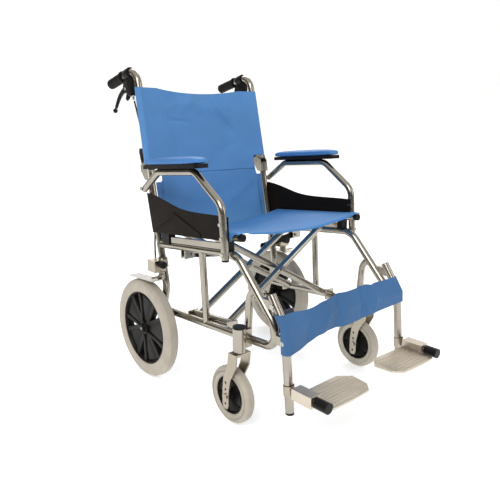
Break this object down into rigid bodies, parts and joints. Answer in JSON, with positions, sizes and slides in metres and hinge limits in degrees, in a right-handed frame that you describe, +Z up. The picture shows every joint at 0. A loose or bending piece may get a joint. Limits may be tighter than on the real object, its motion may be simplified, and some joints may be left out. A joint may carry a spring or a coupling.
{
  "type": "transport wheelchair",
  "caption": "Folding attendant-pushed wheelchair with cross-braced frame, fold-down back, sling seat, footplates, casters and hand brakes.",
  "frame": {"origin": "on the floor under the middle of the whole chair", "axes": "+Z up, the chair faces -Y, +X is the sitter's left"},
  "size_m": [0.593, 0.948, 0.9281],
  "materials": {
    "frame_tube": "polished tube",
    "black_plastic": "moulded, lightly textured",
    "bolt": "zinc-plated",
    "blue_fabric": "woven nylon",
    "navy_fabric": "hook-and-loop tape",
    "guard_plastic": "fine moulded grain",
    "fork_alloy": "satin casting",
    "hinge_alloy": "satin casting",
    "grip_rubber": "ribbed, matt",
    "cable_black": "satin cable housing",
    "wheel_core": "moulded, satin",
    "grey_tyre": "solid, smooth with shallow grooves"
  },
  "bodies": {
    "right_side": {"side_frame_right": "frame_tube", "plastic_fittings_right": "black_plastic", "frame_bolts_right": "bolt", "armrest_tube_right": "frame_tube", "arm_pad_base_right": "black_plastic", "arm_pad_right": "blue_fabric", "skirt_guard_right": "guard_plastic", "brake_housing_right": "fork_alloy", "footrest_hanger_right": "frame_tube", "footplate_bracket_right": "fork_alloy", "back_hinge_right": "hinge_alloy", "back_upholstery_lower": "blue_fabric", "calf_strap": "blue_fabric", "calf_strap_tab": "navy_fabric"},
    "arm_a": {"cross_arm_a": "frame_tube", "rail_caps_a": "black_plastic", "cross_bolts": "bolt", "seat_sling": "blue_fabric"},
    "arm_b": {"cross_arm_b": "frame_tube", "rail_caps_b": "black_plastic"},
    "left_side": {"side_frame_left": "frame_tube", "plastic_fittings_left": "black_plastic", "frame_bolts_left": "bolt", "armrest_tube_left": "frame_tube", "arm_pad_base_left": "black_plastic", "arm_pad_left": "blue_fabric", "skirt_guard_left": "guard_plastic", "brake_housing_left": "fork_alloy", "footrest_hanger_left": "frame_tube", "footplate_bracket_left": "fork_alloy", "back_hinge_left": "hinge_alloy"},
    "back_right": {"back_post_right": "frame_tube", "handle_grip_right": "grip_rubber", "lever_bracket_right": "black_plastic", "brake_cable_right": "cable_black", "back_upholstery_upper": "blue_fabric"},
    "back_left": {"back_post_left": "frame_tube", "handle_grip_left": "grip_rubber", "lever_bracket_left": "black_plastic", "brake_cable_left": "cable_black"},
    "latch_right": {"latch_lever_right": "black_plastic"},
    "lever_right": {"brake_lever_right": "black_plastic"},
    "shoe_right": {"brake_shoe_right": "bolt"},
    "link_right": {"fold_link_right": "black_plastic"},
    "plate_right": {"footplate_right": "fork_alloy"},
    "rear_wheel_right": {"rear_right_rim": "wheel_core", "rear_right_tyre": "grey_tyre"},
    "fork_right": {"caster_fork_right": "fork_alloy"},
    "caster_wheel_right": {"caster_right_rim": "wheel_core", "caster_right_tyre": "grey_tyre"},
    "latch_left": {"latch_lever_left": "black_plastic"},
    "lever_left": {"brake_lever_left": "black_plastic"},
    "shoe_left": {"brake_shoe_left": "bolt"},
    "link_left": {"fold_link_left": "black_plastic"},
    "plate_left": {"footplate_left": "fork_alloy"},
    "rear_wheel_left": {"rear_left_rim": "wheel_core", "rear_left_tyre": "grey_tyre"},
    "fork_left": {"caster_fork_left": "fork_alloy"},
    "caster_wheel_left": {"caster_left_rim": "wheel_core", "caster_left_tyre": "grey_tyre"}
  },
  "joints": [
    {"name": "fold", "type": "hinge", "parent": "right_side", "child": "arm_a", "pos_m": [-0.205, 0, 0.228], "axis": [0, -0.9962, 0.0872], "range_deg": [0, 42], "deforming": ["seat_sling", "back_upholstery_upper", "back_upholstery_lower", "calf_strap", "calf_strap_tab"]},
    {"name": "cross_pivot", "type": "hinge", "parent": "arm_a", "child": "arm_b", "pos_m": [0, 0.01014, 0.34395], "axis": [0, -0.9962, 0.0872], "range_deg": [-84, 0]},
    {"name": "left_side_fold", "type": "hinge", "parent": "arm_b", "child": "left_side", "pos_m": [0.205, 0, 0.228], "axis": [0, -0.9962, 0.0872], "range_deg": [0, 42]},
    {"name": "link_fold_right", "type": "hinge", "parent": "right_side", "child": "link_right", "pos_m": [-0.2105, 0.07518, 0.3989], "axis": [0, -0.9962, 0.0872], "range_deg": [0, 75.2]},
    {"name": "footplate_flip_right", "type": "hinge", "parent": "right_side", "child": "plate_right", "pos_m": [-0.2265, -0.4, 0.147], "axis": [0, -1, 0], "range_deg": [0, 90.1]},
    {"name": "back_fold_right", "type": "hinge", "parent": "right_side", "child": "back_right", "pos_m": [-0.2265, 0.26727, 0.634], "axis": [-1, 0, 0], "range_deg": [0, 100], "deforming": ["brake_cable_right"]},
    {"name": "latch_press_right", "type": "hinge", "parent": "back_right", "child": "latch_right", "pos_m": [-0.2265, 0.28127, 0.643], "axis": [-1, 0, 0], "range_deg": [0, 12], "stiffness_Nm_per_rad": 1.5, "springref_deg": -2.86},
    {"name": "brake_squeeze_right", "type": "hinge", "parent": "back_right", "child": "lever_right", "pos_m": [-0.221, 0.366, 0.866], "axis": [1, 0, 0], "range_deg": [0, 20], "stiffness_Nm_per_rad": 3, "springref_deg": -8.59},
    {"name": "brake_shoe_press_right", "type": "hinge", "parent": "right_side", "child": "shoe_right", "pos_m": [-0.2, 0.158, 0.324], "axis": [1, 0, 0], "range_deg": [-2.5, 0]},
    {"name": "rear_wheel_spin_right", "type": "hinge", "parent": "right_side", "child": "rear_wheel_right", "pos_m": [-0.2767, 0.2186, 0.1525], "axis": [1, 0, 0], "continuous": true},
    {"name": "caster_swivel_right", "type": "hinge", "parent": "right_side", "child": "fork_right", "pos_m": [-0.26, -0.203, 0.236], "axis": [0, 0, 1], "continuous": true},
    {"name": "caster_spin_right", "type": "hinge", "parent": "fork_right", "child": "caster_wheel_right", "pos_m": [-0.26, -0.175, 0.0775], "axis": [1, 0, 0], "continuous": true},
    {"name": "link_fold_left", "type": "hinge", "parent": "left_side", "child": "link_left", "pos_m": [0.2105, 0.07518, 0.3989], "axis": [0, -0.9962, 0.0872], "range_deg": [-75.2, 0]},
    {"name": "footplate_flip_left", "type": "hinge", "parent": "left_side", "child": "plate_left", "pos_m": [0.2265, -0.4, 0.147], "axis": [0, 1, 0], "range_deg": [0, 90.1]},
    {"name": "back_fold_left", "type": "hinge", "parent": "left_side", "child": "back_left", "pos_m": [0.2265, 0.26727, 0.634], "axis": [-1, 0, 0], "range_deg": [0, 100], "deforming": ["brake_cable_left"]},
    {"name": "latch_press_left", "type": "hinge", "parent": "back_left", "child": "latch_left", "pos_m": [0.2265, 0.28127, 0.643], "axis": [-1, 0, 0], "range_deg": [0, 12], "stiffness_Nm_per_rad": 1.5, "springref_deg": -2.86},
    {"name": "brake_squeeze_left", "type": "hinge", "parent": "back_left", "child": "lever_left", "pos_m": [0.221, 0.366, 0.866], "axis": [1, 0, 0], "range_deg": [0, 20], "stiffness_Nm_per_rad": 3, "springref_deg": -8.59},
    {"name": "brake_shoe_press_left", "type": "hinge", "parent": "left_side", "child": "shoe_left", "pos_m": [0.2, 0.158, 0.324], "axis": [1, 0, 0], "range_deg": [-2.5, 0]},
    {"name": "rear_wheel_spin_left", "type": "hinge", "parent": "left_side", "child": "rear_wheel_left", "pos_m": [0.2767, 0.2186, 0.1525], "axis": [1, 0, 0], "continuous": true},
    {"name": "caster_swivel_left", "type": "hinge", "parent": "left_side", "child": "fork_left", "pos_m": [0.26, -0.203, 0.236], "axis": [0, 0, 1], "continuous": true},
    {"name": "caster_spin_left", "type": "hinge", "parent": "fork_left", "child": "caster_wheel_left", "pos_m": [0.26, -0.175, 0.0775], "axis": [1, 0, 0], "continuous": true}
  ],
  "couplings": [
    {"joint": "cross_pivot", "follows": "fold", "ratio": -2},
    {"joint": "left_side_fold", "follows": "fold", "ratio": 1},
    {"joint": "link_fold_right", "follows": "fold", "ratio": 1.79},
    {"joint": "footplate_flip_right", "follows": "fold", "ratio": 2.143},
    {"joint": "brake_shoe_press_right", "follows": "brake_squeeze_right", "ratio": -0.12},
    {"joint": "link_fold_left", "follows": "fold", "ratio": -1.79},
    {"joint": "footplate_flip_left", "follows": "fold", "ratio": 2.143},
    {"joint": "brake_shoe_press_left", "follows": "brake_squeeze_left", "ratio": -0.12},
    {"joint": "back_fold_left", "follows": "back_fold_right", "ratio": 1}
  ]
}
